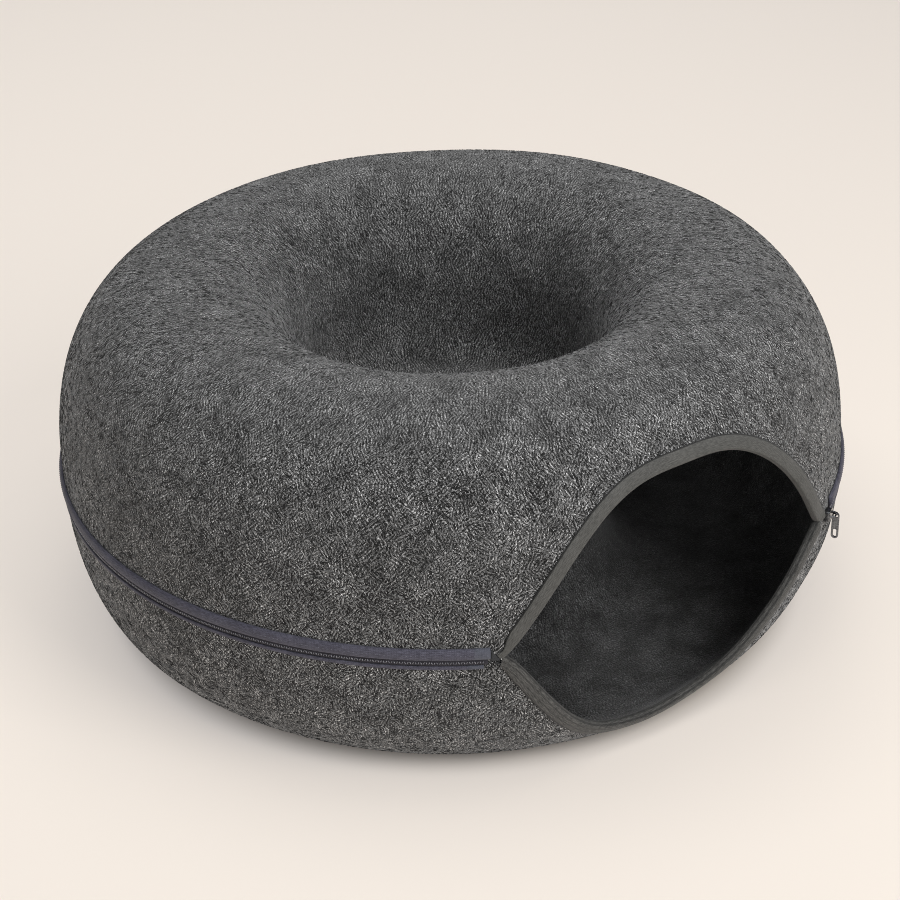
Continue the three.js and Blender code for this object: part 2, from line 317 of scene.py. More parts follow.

# Floor, whose glow fades out between two distances from the ring's axis, painting a contact shadow round the
# bed's foot
FLOOR_HALF = 40
FLOOR_TINT = (0.450, 0.395, 0.330, 1)
FLOOR_GLOW = (1.0, 0.951, 0.928, 1)
FLOOR_GLOW_STRENGTH = 0.43
FLOOR_GLOW_PAINTED_SHADOW_FROM = 0.242
FLOOR_GLOW_PAINTED_SHADOW_TO = 0.281
FLOOR_GRAIN_SCALE = 400.0
FLOOR_GRAIN_STRENGTH = 0.05
FLOOR_GRAIN_DEPTH = 0.0005

# Reach of the picture's filter, in pixels
PIXEL_FILTER = 1.0


def quarter(r, z, half_r, half_z, power):
    """A quarter superellipse about (r, z), from the end of its r half axis to that of its z half axis."""
    angle = np.linspace(0, math.pi / 2, ARC_STEPS + 1)
    across = np.abs(np.cos(angle)) ** (2 / power)
    upward = np.abs(np.sin(angle)) ** (2 / power)
    return np.stack([r + half_r * across, z + half_z * upward], axis=1)


def upper_outline():
    """The outside of the upper half ring, from the seam over the crest and down into the well."""
    shoulder = quarter(CREST_R, WIDEST_Z, RING_R - CREST_R, CREST_Z - WIDEST_Z, SHOULDER_POWER)
    lip = quarter(CREST_R, THROAT_Z, THROAT_R - CREST_R, CREST_Z - THROAT_Z, LIP_POWER)
    well = quarter(WELL_FLAT_R, THROAT_Z, THROAT_R - WELL_FLAT_R, WELL_FLOOR_Z - THROAT_Z, WELL_POWER)
    seam = [[RING_R, SEAM_Z + SEAM_GAP / 2]]
    return np.concatenate([seam, shoulder, lip[-2::-1], well[1:], [[0, WELL_FLOOR_Z]]])


def lower_outline():
    """The outside of the lower half ring, from the seam down to the base and up under the hump."""
    ceiling_z = WELL_FLOOR_Z - FELT - HUMP_GAP - FELT
    belly = quarter(BASE_R, WIDEST_Z, RING_R - BASE_R, -WIDEST_Z, BELLY_POWER)
    foot = quarter(HUMP_FOOT_R, HUMP_WAIST_Z, HUMP_R - HUMP_FOOT_R, -HUMP_WAIST_Z, HUMP_FOOT_POWER)
    top = quarter(HUMP_FLAT_R, HUMP_WAIST_Z, HUMP_R - HUMP_FLAT_R, ceiling_z - HUMP_WAIST_Z, WELL_POWER)
    seam = [[RING_R, SEAM_Z - SEAM_GAP / 2]]
    return np.concatenate([seam, belly[1:], foot[::-1], top[1:], [[0, ceiling_z]]])


def measured(outline, turn):
    """Columns of distance from the seam, r, z and the outward normal's r and z along an outline."""
    steps = np.linalg.norm(np.diff(outline, axis=0), axis=1)
    along = np.gradient(outline, axis=0)
    along /= np.linalg.norm(along, axis=1)[:, None]
    distance = np.concatenate([[0], np.cumsum(steps)])
    return np.column_stack([distance, outline, along[:, 1] * turn, -along[:, 0] * turn])


UPPER_SIDE = measured(upper_outline(), 1)
LOWER_SIDE = measured(lower_outline(), -1)
UPPER_LENGTH = UPPER_SIDE[-1, 0]
LOWER_LENGTH = LOWER_SIDE[-1, 0]
FELT_LINE = np.concatenate([LOWER_SIDE[::-1] * (-1, 1, 1, 1, 1), UPPER_SIDE])


def felt_line(s):
    """r, z and the normal's r and z at distances s up from the seam."""
    return [np.interp(s, FELT_LINE[:, 0], FELT_LINE[:, column]) for column in range(1, 5)]


def smooth_ramp(value, none, full):
    """Rises smoothly from 0 at none to 1 at full."""
    t = np.clip((np.asarray(value) - none) / (full - none), 0, 1)
    return t * t * (3 - 2 * t)


def settled(x, s):
    """Inward give of the felt's lower rim."""
    along = smooth_ramp(x, *SETTLE_LEFT) * smooth_ramp(x, *SETTLE_RIGHT)
    return SETTLE * along * smooth_ramp(s, *SETTLE_TOP) * smooth_ramp(s, *SETTLE_FOOT)


def on_felt(x, s, lift=0.0):
    """Places on the felt: x around the ring from the entrance's middle, s up from the seam, lift above."""
    r, z, normal_r, normal_z = felt_line(s)
    size = np.hypot(normal_r, normal_z)
    lift = lift - settled(x, s)
    radius = r + lift * normal_r / size
    azimuth = np.asarray(x) / RING_R
    across = AXIS.x + radius * np.sin(azimuth)
    deep = AXIS.y - radius * np.cos(azimuth)
    high = z + lift * normal_z / size
    return np.stack(np.broadcast_arrays(across, deep, high), axis=-1)


def place_on_felt(x, s, lift=0.0):
    return Vector(on_felt(x, s, lift))


def around(place):
    """Distance around the ring from the entrance's middle, at the ring's outer radius."""
    return math.atan2(place.x - AXIS.x, AXIS.y - place.y) * RING_R


def arch_height(arch, x):
    across = np.clip(np.asarray(x) / ENTRANCE_HALF, -1, 1)
    leaned = np.abs(across + arch["lean"] * (1 - across ** 2))
    return arch["rise"] * (1 - leaned ** arch["edge"]) ** arch["flare"]


def past_arch(arch, x, s):
    """How far a place lies outside an arch's cut edge, measured square to it."""
    climb = arch_height(arch, x + SLOPE_STEP) - arch_height(arch, x - SLOPE_STEP)
    return (np.abs(s) - arch_height(arch, x)) / np.hypot(1, climb / (2 * SLOPE_STEP))


def dent(arch, x, s):
    """Slight unevenness of the moulded felt, level at the zip, the bindings, the base and the middle."""
    r, z, _, _ = felt_line(s)
    waves = sum(np.sin(turns * x / RING_R + rise * s + start) for turns, rise, start in DENT_WAVES)
    free = smooth_ramp(past_arch(arch, x, s), FACE_W, FACE_W + DENT_FADE)
    free = free * smooth_ramp(z, 0, DENT_FADE) * smooth_ramp(r, 0, DENT_POLE_R)
    return DENT * waves / len(DENT_WAVES) * free


def link(name, mesh, material):
    """An object at the origin that rides on the bed."""
    piece = bpy.data.objects.new(name, mesh)
    bpy.context.scene.collection.objects.link(piece)
    mesh.materials.append(material)
    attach(piece, "root")
    return piece


def finished(name, bm, material, smooth=True):
    mesh = bpy.data.meshes.new(name)
    bm.to_mesh(mesh)
    bm.free()
    if smooth:
        mesh.shade_smooth()
    else:
        mesh.shade_flat()
    return link(name, mesh, material)


def corners_of(geom):
    return [g for g in geom if isinstance(g, bmesh.types.BMVert)]


def edges_of(geom):
    return [g for g in geom if isinstance(g, bmesh.types.BMEdge)]


def thicken(bm, face, by):
    """Extrudes a flat face into a closed block."""
    grown = bmesh.ops.extrude_face_region(bm, geom=[face])["geom"]
    bmesh.ops.translate(bm, verts=corners_of(grown), vec=by)


def round_edges(piece, width, segments):
    rounding = piece.modifiers.new("round_off", "BEVEL")
    rounding.width = width
    rounding.segments = segments


def grey(level, cover=1.0):
    return (level, level, level, cover)


def add_node(tree, kind, inputs=None, **settings):
    """A shader node with its settings, and its inputs linked or set."""
    node = tree.nodes.new(kind)
    for key, value in settings.items():
        setattr(node, key, value)
    for key, value in (inputs or {}).items():
        if isinstance(value, bpy.types.NodeSocket):
            tree.links.new(value, node.inputs[key])
        else:
            node.inputs[key].default_value = value
    return node


def calculate(tree, operation, first, second=0.0, third=0.0):
    node = add_node(tree, "ShaderNodeMath", {0: first, 1: second, 2: third}, operation=operation)
    return node.outputs[0]


def vector_math(tree, operation, first, second=(0, 0, 0), third=(0, 0, 0)):
    """The vector, or the number, that an operation on vectors gives."""
    node = add_node(tree, "ShaderNodeVectorMath", {0: first, 1: second, 2: third}, operation=operation)
    gives_number = operation in ("DOT_PRODUCT", "LENGTH", "DISTANCE")
    return node.outputs["Value" if gives_number else "Vector"]


def scaled(tree, vector, by):
    node = add_node(tree, "ShaderNodeVectorMath", {0: vector, "Scale": by}, operation="SCALE")
    return node.outputs["Vector"]


def noise(tree, vector, scale, detail, output="Fac"):
    node = add_node(tree, "ShaderNodeTexNoise", {"Vector": vector, "Scale": scale, "Detail": detail})
    return node.outputs[output]


def spread_over(tree, value, low, high, to_low, to_high):
    return add_node(tree, "ShaderNodeMapRange", {
        "Value": value, "From Min": low, "From Max": high, "To Min": to_low, "To Max": to_high,
    }).outputs[0]


def blend_colours(tree, factor, first, second):
    mix = add_node(tree, "ShaderNodeMix", {0: factor, 6: first, 7: second}, data_type="RGBA")
    return mix.outputs[2]


def new_material(name, roughness, **uniform):
    material = bpy.data.materials.new(name)
    material.use_nodes = True
    shader = material.node_tree.nodes["Principled BSDF"]
    shader.inputs["Roughness"].default_value = roughness
    for key, value in uniform.items():
        shader.inputs[key.replace("_", " ")].default_value = value
    return material, material.node_tree, shader


def set_relief(tree, shader, height, strength, depth):
    bump = add_node(tree, "ShaderNodeBump", {"Height": height, "Strength": strength, "Distance": depth})
    tree.links.new(bump.outputs[0], shader.inputs["Normal"])


def strand_directions():
    """Directions spread evenly over a half sphere."""
    golden = math.pi * (3 - math.sqrt(5))
    for i in range(STRAND_LAYERS):
        height = (i + 0.5) / STRAND_LAYERS
        flat = math.sqrt(1 - height * height)
        yield Vector((flat * math.cos(i * golden), flat * math.sin(i * golden), height))


def crossing_strands(tree, finish, flowing, facing, radius):
    """Colour of the strands. Each layer shows where its direction lies along the surface."""
    most = finish["strands"]
    shown = spread_over(tree, radius, COMBED_FROM_R, COMBED_FULL_R, most, most * COMBED_STRANDS)
    colour = grey(finish["ground"])
    for i, direction in enumerate(strand_directions()):
        along = add_node(tree, "ShaderNodeMapping", {
            "Vector": flowing,
            "Location": [shift * i for shift in STRAND_SHIFT],
            "Rotation": direction.to_track_quat("X", "Z").to_euler(),
            "Scale": (STRAND_LENGTH, STRAND_WIDTH, STRAND_WIDTH),
        }, vector_type="TEXTURE")
        tones = add_node(tree, "ShaderNodeValToRGB", {"Fac": noise(tree, along.outputs[0], 1.0, 0.0)})
        ramp = tones.color_ramp
        ramp.elements.remove(ramp.elements[1])
        for position, level, cover in STRAND_TONES:
            ramp.elements.new(position).color = grey(level, cover)
        ramp.elements.remove(ramp.elements[0])
        steep = calculate(tree, "ABSOLUTE", vector_math(tree, "DOT_PRODUCT", facing, direction))
        lies = spread_over(tree, steep, STRAND_STEEP, STRAND_FLAT, 0.0, shown)
        share = calculate(tree, "MULTIPLY", tones.outputs["Alpha"], lies)
        colour = blend_colours(tree, share, colour, tones.outputs["Color"])
    return colour


def hatch_lines(tree, finish, flowing, facing, radius, round_ring):
    """Tone of fine lines that run up the wall, each small patch of them leaning by its own chance."""
    patches = add_node(tree, "ShaderNodeTexVoronoi", {"Vector": flowing, "Scale": HATCH_PATCHES})
    chance = add_node(tree, "ShaderNodeSeparateXYZ", {0: patches.outputs["Color"]}).outputs[0]
    most = spread_over(tree, radius, COMBED_FROM_R, COMBED_FULL_R, WALL_HATCH_LEAN, COMBED_HATCH_LEAN)
    lean = calculate(tree, "MULTIPLY", spread_over(tree, chance, 0.0, 1.0, -1.0, 1.0), most)
    up_wall = vector_math(tree, "CROSS_PRODUCT", facing, round_ring)
    leaning = vector_math(tree, "ADD", round_ring, scaled(tree, up_wall, lean))
    across = vector_math(tree, "NORMALIZE", leaning)
    off_middle = vector_math(tree, "SUBTRACT", flowing, patches.outputs["Position"])
    from_line = vector_math(tree, "DOT_PRODUCT", off_middle, across)
    wave = calculate(tree, "SINE", calculate(tree, "MULTIPLY", from_line, 2 * math.pi / HATCH_PITCH))
    return spread_over(tree, wave, -1.0, 1.0, *finish["hatch"])


def felt_material(name, finish):
    """Felt of crossing strands under a fine hatch, clouded in tone, with painted shade darkening the well."""
    material, tree, shader = new_material(name, 0.95, Specular_IOR_Level=0.15,
                                          Sheen_Weight=0.28, Sheen_Roughness=0.45)
    place = add_node(tree, "ShaderNodeTexCoord").outputs["Object"]
    facing = add_node(tree, "ShaderNodeNewGeometry").outputs["Normal"]
    drift = vector_math(tree, "SUBTRACT", noise(tree, place, DRIFT_SCALE, 1.0, "Color"), (0.5, 0.5, 0.5))
    flowing = vector_math(tree, "MULTIPLY_ADD", drift, (DRIFT_REACH,) * 3, place)
    sideways = vector_math(tree, "CROSS_PRODUCT", UP, vector_math(tree, "SUBTRACT", place, AXIS))
    radius = vector_math(tree, "LENGTH", sideways)
    round_ring = vector_math(tree, "NORMALIZE", sideways)
    colour = crossing_strands(tree, finish, flowing, facing, radius)
    hatch = hatch_lines(tree, finish, flowing, facing, radius, round_ring)
    cloud = spread_over(tree, noise(tree, place, CLOUD_SCALE, 3.0), *CLOUD_FROM_TO, *finish["clouds"])
    # Painted shade: the felt darkens towards the well
    in_well = spread_over(tree, radius, WELL_SHADE_FROM_R, WELL_SHADE_FULL_R, 1.0, WELL_SHADE)
    tone = calculate(tree, "MULTIPLY", calculate(tree, "MULTIPLY", cloud, hatch), in_well)
    tree.links.new(scaled(tree, colour, tone), shader.inputs["Base Color"])
    set_relief(tree, shader, noise(tree, flowing, NAP_SCALE, 1.0), NAP_STRENGTH, NAP_DEPTH)
    return material


def fibre_material(name, level):
    material, _, shader = new_material(name, 0.8, Specular_IOR_Level=0.2, Sheen_Weight=0.1)
    shader.inputs["Base Color"].default_value = grey(level)
    return material


def woven_material(name, dark, light, rib, roughness, sealed=None, painted_shade_lines=()):
    """Woven tape on its own UV map, in metres along and across it, with ribs, pale slubs and painted shade
    lines.

    A sealed end is given by its length and colour, a painted shade line by its place across the tape, reach
    and shade.
    """
    material, tree, shader = new_material(name, roughness, Specular_IOR_Level=0.25, Sheen_Weight=0.1)
    laid = add_node(tree, "ShaderNodeUVMap", uv_map="tape").outputs[0]
    along, across, _ = add_node(tree, "ShaderNodeSeparateXYZ", {0: laid}).outputs
    turn = 2 * math.pi / rib
    weft = calculate(tree, "SINE", calculate(tree, "MULTIPLY", along, turn))
    slant = calculate(tree, "ADD", along, across)
    twill = calculate(tree, "SINE", calculate(tree, "MULTIPLY", slant, turn * TWILL_RATIO))
    weave = spread_over(tree, calculate(tree, "ADD", weft, twill), -2.0, 2.0, 0.0, 1.0)
    stretched = add_node(tree, "ShaderNodeMapping", {"Vector": laid, "Scale": SLUB_STRETCH}).outputs[0]
    slubs = spread_over(tree, noise(tree, stretched, 1.0, 2.0), *SLUB_SPREAD)
    patchy = spread_over(tree, noise(tree, laid, PATCHY_SCALE, 2.0), *PATCHY_SPREAD)
    tone = calculate(tree, "ADD", calculate(tree, "MULTIPLY_ADD", weave, WEAVE_SHARE, slubs), patchy)
    colour = blend_colours(tree, tone, (*dark, 1), (*light, 1))
    if sealed:
        length, pale = sealed
        near_end = spread_over(tree, along, length, length * SEALED_EDGE, 0.0, SEALED_SHARE)
        colour = blend_colours(tree, near_end, colour, (*pale, 1))
    # Painted shade: dark lines along the tape's edges and folds
    for shade_line, reach, shade in painted_shade_lines:
        off_shade_line = calculate(tree, "ABSOLUTE", calculate(tree, "SUBTRACT", across, shade_line))
        in_shade_line = spread_over(tree, off_shade_line, reach * PAINTED_SHADE_CORE, reach, shade, 0.0)
        colour = blend_colours(tree, in_shade_line, colour, grey(PAINTED_SHADE_GREY))
    tree.links.new(colour, shader.inputs["Base Color"])
    set_relief(tree, shader, weave, WEAVE_STRENGTH, WEAVE_DEPTH)
    return material


def mottled_material(name, dark, light, scale, roughness, **uniform):
    """A finish whose tone and gloss vary a little from place to place."""
    material, tree, shader = new_material(name, roughness, **uniform)
    place = add_node(tree, "ShaderNodeTexCoord").outputs["Object"]
    grain = noise(tree, place, scale, 3.0)
    level = spread_over(tree, grain, *GRAIN_TONES_AT, 0.0, 1.0)
    tree.links.new(blend_colours(tree, level, (*dark, 1), (*light, 1)), shader.inputs["Base Color"])
    smoothest = roughness * (1 - GRAIN_GLOSS)
    roughest = roughness * (1 + GRAIN_GLOSS)
    gloss = spread_over(tree, grain, *GRAIN_GLOSS_AT, smoothest, roughest)
    tree.links.new(gloss, shader.inputs["Roughness"])
    set_relief(tree, shader, grain, GRAIN_STRENGTH, GRAIN_DEPTH)
    return material


FELT_LOOK = felt_material("marled_felt", FELT_FINISH)
INSIDE_LOOK_WITH_PAINTED_SHADE = felt_material("felt_inside_painted_shade", INSIDE_FINISH_WITH_PAINTED_SHADE)
FIBRE_LOOKS = [fibre_material(f"fibre_{tone}", level) for tone, level, _ in FIBRE_TONES]
# Painted shade lines along the binding's felt-side edge and its fold
BINDING_LOOK = woven_material(
    "binding_tape", (0.048, 0.048, 0.045), (0.112, 0.111, 0.105), 0.0011, 0.8,
    painted_shade_lines=((0.0, 0.0013, 0.9), (0.0112, 0.0007, 0.3)),
)
# Painted shade lines along the lower binding's felt-side edge, across its face and at its folds
LOWER_BINDING_LOOK = woven_material(
    "lower_binding_tape", (0.024, 0.024, 0.023), (0.120, 0.118, 0.112), 0.0011, 0.8,
    painted_shade_lines=((0.0, 0.0013, 0.9), (0.0045, 0.0006, 0.4), (0.0080, 0.0006, 0.45), (0.0112, 0.0008, 0.6),
          (0.0140, 0.0006, 0.5)),
)
ZIP_TAPE_LOOK = woven_material(
    "zip_tape", (0.032, 0.031, 0.046), (0.108, 0.106, 0.142), 0.0011, 0.65,
    sealed=(0.012, (0.095, 0.108, 0.130)),
)
BED_LOOK = woven_material("coil_bed", (0.012, 0.011, 0.016), (0.040, 0.038, 0.050), 0.0010, 0.7)
COIL_LOOK = mottled_material("zip_coil", (0.12, 0.12, 0.14), (0.32, 0.32, 0.35), 1500.0, 0.4)
PALE_LOOK = mottled_material("pale_thread", (0.06, 0.06, 0.08), (0.15, 0.15, 0.18), 900.0, 0.6)
KNOT_LOOK = mottled_material("knot_thread", (0.35, 0.35, 0.34), (0.55, 0.55, 0.54), 2500.0, 0.7)
PATCH_LOOK = mottled_material("patch_cloth", (0.012, 0.013, 0.015), (0.034, 0.036, 0.040), 1300.0, 0.8)
THREAD_LOOK = mottled_material("dark_thread", (0.008, 0.008, 0.009), (0.020, 0.020, 0.022), 2500.0, 0.7)
METAL_LOOK = mottled_material("gunmetal", (0.10, 0.10, 0.11), (0.24, 0.25, 0.26), 900.0, 0.22, Metallic=1.0)


def felt_shell(name, arch, length):
    """A felt half ring: its outline spun round, with the first rows pulled up to the entrance's arch."""
    bm = bmesh.new()
    from_seam = bm.verts.layers.float.new("from_seam")
    rows = math.ceil(length / ROW)
    profile = []
    for row in range(rows + 1):
        distance = length * row / rows
        corner = bm.verts.new(place_on_felt(-ENTRANCE_HALF, arch["side"] * distance))
        corner[from_seam] = distance
        profile.append(corner)
    edges = [bm.edges.new(pair) for pair in zip(profile, profile[1:])]
    sector = 2 * ENTRANCE_HALF / RING_R
    turned = bmesh.ops.spin(bm, geom=profile + edges, cent=AXIS, axis=UP, angle=sector,
                            steps=ENTRANCE_COLUMNS)["geom_last"]
    bmesh.ops.spin(bm, geom=turned, cent=AXIS, axis=UP, angle=2 * math.pi - sector, steps=REST_COLUMNS)
    bmesh.ops.remove_doubles(bm, verts=bm.verts, dist=MERGE_WITHIN)
    corners = list(bm.verts)
    x = np.array([around(corner.co) for corner in corners])
    s = np.array([corner[from_seam] for corner in corners])
    height = arch_height(arch, x)
    s = np.where(s < arch["reach"], height + s * (1 - height / arch["reach"]), s) * arch["side"]
    for corner, place in zip(corners, on_felt(x, s, dent(arch, x, s))):
        corner.co = place
    bmesh.ops.recalc_face_normals(bm, faces=bm.faces)
    piece = finished(name, bm, FELT_LOOK)
    # The binding pinches the felt thinner along the entrance
    full = piece.vertex_groups.new(name="full_thickness")
    free = smooth_ramp(past_arch(arch, x, s), PINCH_FROM, PINCH_FROM + PINCH_FADE)
    for i, share in enumerate(PINCHED + (1 - PINCHED) * free):
        full.add([i], share, "REPLACE")
    wall = piece.modifiers.new("wall", "SOLIDIFY")
    wall.thickness = FELT
    wall.offset = -1
    wall.vertex_group = full.name
    # The felt's inner face takes the inside material, with its painted shade
    piece.data.materials.append(INSIDE_LOOK_WITH_PAINTED_SHADE)
    wall.material_offset = 1
    return piece


def scattered(arch, low, high, chance):
    """Places spread evenly over the felt, clear of the binding and of the ring's axis."""
    tries = int(FIBRES_A_PIECE * FIBRE_TRIES)
    table_s = np.linspace(low, high, FIBRE_TABLE_STEPS)
    weight = np.cumsum(felt_line(arch["side"] * table_s)[0])
    s = np.interp(chance.random(tries), weight / weight[-1], table_s) * arch["side"]
    x = (chance.random(tries) * 2 - 1) * math.pi * RING_R
    clear = (past_arch(arch, x, s) > FACE_W + TAPE_T) & (felt_line(s)[0] > FIBRE_FREE_R)
    return x[clear][:FIBRES_A_PIECE], s[clear][:FIBRES_A_PIECE]


def felt_fibres(name, arch, low, high, seed):
    """Loose fibres lying on the felt between two distances from the seam, as slim closed slivers."""
    chance = np.random.default_rng(seed)
    x, s = scattered(arch, low, high, chance)
    count = len(s)
    r, _, normal_r, _ = felt_line(s)
    turned = x / RING_R
    swirl = sum(size * np.sin(turns * turned + rise * s + start) for turns, rise, start, size in FIBRE_SWIRLS)
    combed = smooth_ramp(r, COMBED_FROM_R, COMBED_FULL_R)
    spread = chance.normal(0, FIBRE_SPREAD, count) * (1 - (1 - COMBED_SPREAD_SHARE) * combed)
    lean = (1 - (1 - COMBED_LEAN_SHARE) * combed) * (swirl + FIBRE_LEAN) + spread
    in_well = smooth_ramp(r, WELL_FIBRES_FROM_R, WELL_FIBRES_FULL_R)
    in_well = in_well * smooth_ramp(-normal_r, WELL_FACING_FROM, WELL_FACING_FULL)
    half = chance.uniform(FIBRE_SHORT, FIBRE_LONG, count) / 2
    wide = chance.uniform(FIBRE_THIN, FIBRE_THICK, count) / 2 * (1 - (1 - WELL_FIBRE_WIDTH) * in_well)
    bend = chance.normal(0, FIBRE_BEND, count)
    along_x = np.sin(lean) * RING_R / r
    along_s = np.cos(lean)
    across_x = np.cos(lean) * RING_R / r
    across_s = -np.sin(lean)
    # How far the fibre's two tips and the two sides of its middle lie along it, across it and above the felt
    none = np.zeros(count)
    forward = np.stack([-half, half, none, none], axis=1)
    sideways = np.stack([none, none, bend - wide, bend + wide], axis=1)
    lift = np.array([-FIBRE_SINK, -FIBRE_SINK, FIBRE_LIFT, FIBRE_LIFT])
    xs = x[:, None] + forward * along_x[:, None] + sideways * across_x[:, None]
    ss = s[:, None] + forward * along_s[:, None] + sideways * across_s[:, None]
    places = on_felt(xs, ss, lift + dent(arch, xs, ss)).reshape(-1, 3)
    sliver = np.array(SLIVER_FACES)
    if arch["side"] < 0:
        sliver = sliver[:, ::-1]
    faces = (np.arange(count)[:, None, None] * len(sliver) + sliver).reshape(-1, 3)
    mesh = bpy.data.meshes.new(name)
    mesh.from_pydata(places, [], faces)
    mesh.shade_smooth()
    piece = link(name, mesh, FIBRE_LOOKS[0])
    for look in FIBRE_LOOKS[1:]:
        mesh.materials.append(look)
    cloud = sum(np.sin(turns * turned + rise * s + start) for turns, rise, start in FIBRE_CLOUDS)
    draw = chance.random(count) - FIBRE_CLOUD_SHARE * cloud
    bounds = np.cumsum([share for _, _, share in FIBRE_TONES[:-1]])
    tone = np.searchsorted(bounds, draw)
    mesh.polygons.foreach_set("material_index", np.repeat(tone, len(sliver)).astype(np.int32))
    return piece


def tape_section():
    """Middle line of the folded tape, from its edge on the felt's face over the cut to its back."""
    flat = BRIDGE_OUT + FOLD_R
    points = []
    for i in range(FACE_STEPS):
        t = i / FACE_STEPS
        tuck = (FACE_EDGE_LIFT - FACE_LIFT) * (1 - smooth_ramp(t, 0, TUCK_WITHIN))
        points.append((FACE_W + (flat - FACE_W) * t, FACE_LIFT + FACE_CROWN * math.sin(math.pi * t) + tuck))
    for middle, start in ((FACE_LIFT - FOLD_R, 90), (BACK_LIFT + FOLD_R, 180)):
        for i in range(FOLD_STEPS + 1):
            angle = math.radians(start + 90 * i / FOLD_STEPS)
            points.append((flat + FOLD_R * math.cos(angle), middle + FOLD_R * math.sin(angle)))
    for i in range(1, BACK_STEPS + 1):
        points.append((flat + (BACK_W - flat) * i / BACK_STEPS, BACK_LIFT))
    return np.array(points)


def arch_route(arch, start, end):
    """Rows along an arch's edge: x, height, unit step away from the opening, inner and outer width, rise."""
    middle = (start + end) / 2
    x = middle + (end - start) / 2 * np.sin(np.linspace(-math.pi / 2, math.pi / 2, BINDING_PLACES + 1))
    climb = arch_height(arch, x + SLOPE_STEP) - arch_height(arch, x - SLOPE_STEP)
    away = np.stack([-climb / (2 * SLOPE_STEP), np.ones_like(x)], axis=1)
    away /= np.linalg.norm(away, axis=1)[:, None]
    full = np.ones_like(x)
    return np.column_stack([x, arch_height(arch, x), away, full, full, np.zeros_like(x)])


def tapered(route, end_width):
    """The route with its left end cut to a slant on the felt's side."""
    from_end = route[:, 0] - route[0, 0]
    route[:, 5] *= end_width + (1 - end_width) * smooth_ramp(from_end, 0, END_TAPER)
    return route


def with_tongue(route):
    """The route carried straight on over the corner, to a round folded end."""
    x, height, away_x, away_s = route[-1, :4]
    on = np.sin(np.linspace(0, math.pi / 2, TONGUE_PLACES + 1)[1:])
    end = np.clip((TONGUE_L * on - TONGUE_L + TONGUE_ROUND) / TONGUE_ROUND, 0, TONGUE_TIP)
    width = np.sqrt(1 - end ** 2)
    tongue = np.column_stack([
        x + TONGUE_L * on * away_s, height - TONGUE_L * on * away_x,
        np.full_like(on, away_x), np.full_like(on, away_s), width, width, TONGUE_RISE * smooth_ramp(on, 0, 1),
    ])
    return np.concatenate([route, tongue])


def raised_ends(route):
    """The lower route with its ends turned up over the seam, under the upper binding."""
    left, right = LOWER_END_RISE
    at_left = 1 - smooth_ramp(route[:, 0] - route[0, 0], 0, LOWER_RISE_OVER)
    at_right = 1 - smooth_ramp(route[-1, 0] - route[:, 0], 0, LOWER_RISE_OVER)
    route[:, 1] -= left * at_left + right * at_right
    return route


def binding_tape(name, arch, route, material):
    """Tape folded over an arch's cut edge, swept along a route."""
    section = tape_section()
    across = np.concatenate([[0], np.cumsum(np.linalg.norm(np.diff(section, axis=0), axis=1))])
    steps = np.linalg.norm(np.diff(route[:, :2], axis=0), axis=1)
    along = np.concatenate([[0], np.cumsum(steps)])
    middle = (FACE_W + BRIDGE_OUT) / 2
    bm = bmesh.new()
    number = bm.verts.layers.int.new("number")
    length = bm.verts.layers.float.new("length")

    def section_at(x, height, away_x, away_s, inner, outer, rise):
        off = section[:, 0] - middle
        out = middle + off * np.where(off > 0, outer, inner)
        return on_felt(x + out * away_x, arch["side"] * (height + out * away_s), section[:, 1] + rise)

    edge = []
    for j, place in enumerate(section_at(*route[0])):
        corner = bm.verts.new(place)
        corner[number] = j
        edge.append(corner)
    edges = [bm.edges.new(pair) for pair in zip(edge, edge[1:])]
    for distance, place in zip(along[1:], route[1:]):
        made = bmesh.ops.extrude_edge_only(bm, edges=edges)["geom"]
        new = set(corners_of(made))
        spots = section_at(*place)
        for corner in new:
            corner.co = spots[corner[number]]
            corner[length] = distance
        edges = [e for e in edges_of(made) if e.verts[0] in new and e.verts[1] in new]
    laid = bm.loops.layers.uv.new("tape")
    for face in bm.faces:
        for loop in face.loops:
            loop[laid].uv = (loop.vert[length], across[loop.vert[number]])
    bmesh.ops.recalc_face_normals(bm, faces=bm.faces)
    piece = finished(name, bm, material)
    cloth = piece.modifiers.new("cloth", "SOLIDIFY")
    cloth.thickness = TAPE_T
    cloth.offset = 0
    return piece


def zip_strip(name, shape, material):
    """A rounded strip along the seam, from the entrance's right corner round the back to its left one."""
    bm = bmesh.new()
    number = bm.verts.layers.int.new("number")
    middle = (shape["low"] + shape["high"]) / 2
    half = (shape["high"] - shape["low"]) / 2
    angle = np.linspace(0, math.pi, TAPE_POINTS + 1)
    rise = np.abs(np.sin(angle)) ** (2 / shape["power"])
    across = np.sign(np.cos(angle)) * np.abs(np.cos(angle)) ** (2 / shape["power"])
    places = on_felt(ZIP_RIGHT_X, middle + half * across, ZIP_LIFT + (shape["lift"] - ZIP_LIFT) * rise)
    width = np.concatenate([[0], np.cumsum(np.linalg.norm(np.diff(places, axis=0), axis=1))])
    corners = []
    for i, place in enumerate(places):
        corner = bm.verts.new(place)
        corner[number] = i
        corners.append(corner)
    edges = [bm.edges.new(pair) for pair in zip(corners, corners[1:] + corners[:1])]
    turn = 2 * math.pi - (ZIP_RIGHT_X - shape["left"]) / RING_R
    spun = bmesh.ops.spin(bm, geom=corners + edges, cent=AXIS, axis=UP, angle=turn, steps=ZIP_STEPS)
    bm.faces.new(corners)
    bmesh.ops.contextual_create(bm, geom=edges_of(spun["geom_last"]))
    laid = bm.loops.layers.uv.new("tape")
    full = 2 * math.pi * RING_R
    for face in bm.faces:
        for loop in face.loops:
            from_left = (shape["left"] - around(loop.vert.co) + MERGE_WITHIN) % full
            loop[laid].uv = (from_left, width[loop.vert[number]])
    bmesh.ops.recalc_face_normals(bm, faces=bm.faces)
    return finished(name, bm, material)


def zip_places(pitch):
    """Places along the zip, a pitch apart."""
    start = ZIP_RIGHT_X + pitch
    end = 2 * math.pi * RING_R + COIL_BED["left"] - pitch
    return np.arange(start, end, pitch)


